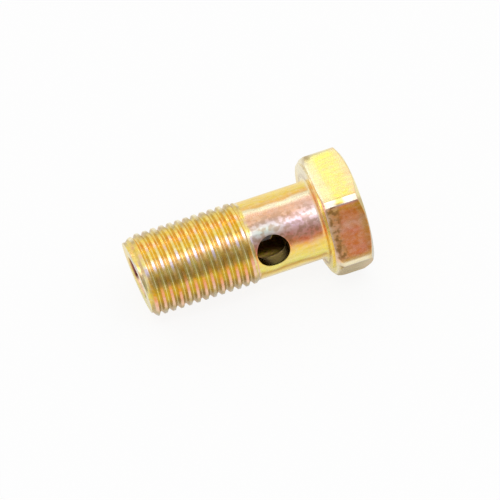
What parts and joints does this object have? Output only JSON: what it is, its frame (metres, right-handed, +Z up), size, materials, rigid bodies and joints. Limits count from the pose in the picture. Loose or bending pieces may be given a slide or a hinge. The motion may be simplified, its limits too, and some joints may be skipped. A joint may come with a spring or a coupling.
{
  "type": "banjo bolt",
  "caption": "Hollow hexagon-head bolt with a blind axial bore and a cross hole, which clamps a ring fitting and passes fluid through it.",
  "frame": {"origin": "on the ground, under the middle of the bolt's bounding box as it lies at rest", "axes": "+Z up; +X along the bolt from its threaded tip to its head, the bolt's own axis rising 5 degrees towards the head; the cross hole opens to -Y, 26 degrees above level"},
  "size_m": [0.028, 0.0156, 0.014],
  "materials": {
    "yellow_zinc": "zinc plating with a yellow, slightly iridescent chromate film over turned and cold-headed steel"
  },
  "bodies": {
    "root": {"banjo_bolt": "yellow_zinc"}
  },
  "joints": []
}
